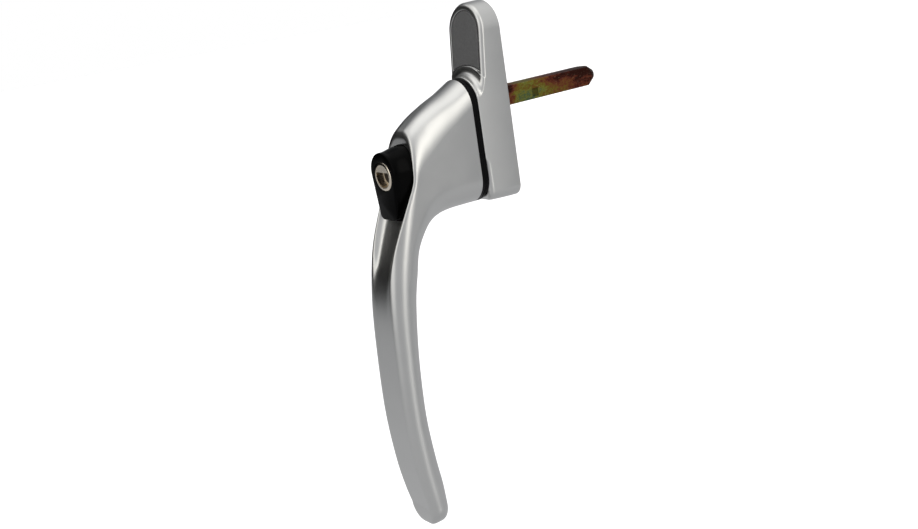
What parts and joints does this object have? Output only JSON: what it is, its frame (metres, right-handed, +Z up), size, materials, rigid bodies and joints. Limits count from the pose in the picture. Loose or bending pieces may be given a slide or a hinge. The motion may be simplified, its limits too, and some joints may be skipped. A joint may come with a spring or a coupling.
{
  "type": "espagnolette window handle",
  "caption": "Locking lever handle for a window: a square spindle behind a slim base plate, a curved grip and a push button with a key lock in the neck.",
  "frame": {"origin": "where the square spindle's axis meets the plane of the base plate's back, which is the face of the window's frame", "axes": "+Y goes along the spindle into the window, -Y comes out into the room, +Z is up along the base plate and +X is to the right seen from the room; the grip hangs down in -Z"},
  "size_m": [0.02, 0.1099, 0.1818],
  "materials": {
    "satin_casting": "satin",
    "grey_cover": "satin",
    "white_plastic": "satin",
    "black_bearing": "satin",
    "black_button": "satin",
    "yellow_zinc": "satin",
    "spring_steel": "satin",
    "blued_steel": "satin",
    "bright_steel": "polished",
    "nickel": "satin",
    "brass": "satin"
  },
  "bodies": {
    "base": {"base_plate": "satin_casting", "thrust_washer": "white_plastic", "detent_balls": "bright_steel", "detent_springs": "spring_steel"},
    "cover": {"screw_cover": "grey_cover"},
    "handle": {"lever": "satin_casting", "foot_plate": "black_bearing", "spindle": "yellow_zinc", "spindle_pin": "spring_steel", "retaining_ring": "blued_steel", "wave_washer": "spring_steel", "button_spring": "spring_steel"},
    "button": {"push_button": "black_button", "lock_barrel": "nickel", "lock_bolt": "bright_steel", "bolt_clip": "blued_steel"},
    "key_plug": {"lock_plug": "nickel", "wafers": "brass", "lock_cam": "bright_steel", "cam_clip": "blued_steel"}
  },
  "joints": [
    {"name": "handle_turn", "type": "hinge", "parent": "base", "child": "handle", "pos_m": [0, 0, 0], "axis": [0, 1, 0], "range_deg": [-90, 90]},
    {"name": "button_push", "type": "slide", "parent": "handle", "child": "button", "axis": [0, 1, 0], "range_m": [0, 0.003], "stiffness_N_per_m": 600, "springref_m": -0.003, "deforming": ["button_spring"]},
    {"name": "key_turn", "type": "hinge", "parent": "button", "child": "key_plug", "pos_m": [0, -0.045, -0.0175], "axis": [0, 1, 0], "range_deg": [0, 90]},
    {"name": "cover_lift", "type": "slide", "parent": "base", "child": "cover", "axis": [0, -0.9943, 0.1064], "range_m": [0, 0.006]}
  ]
}
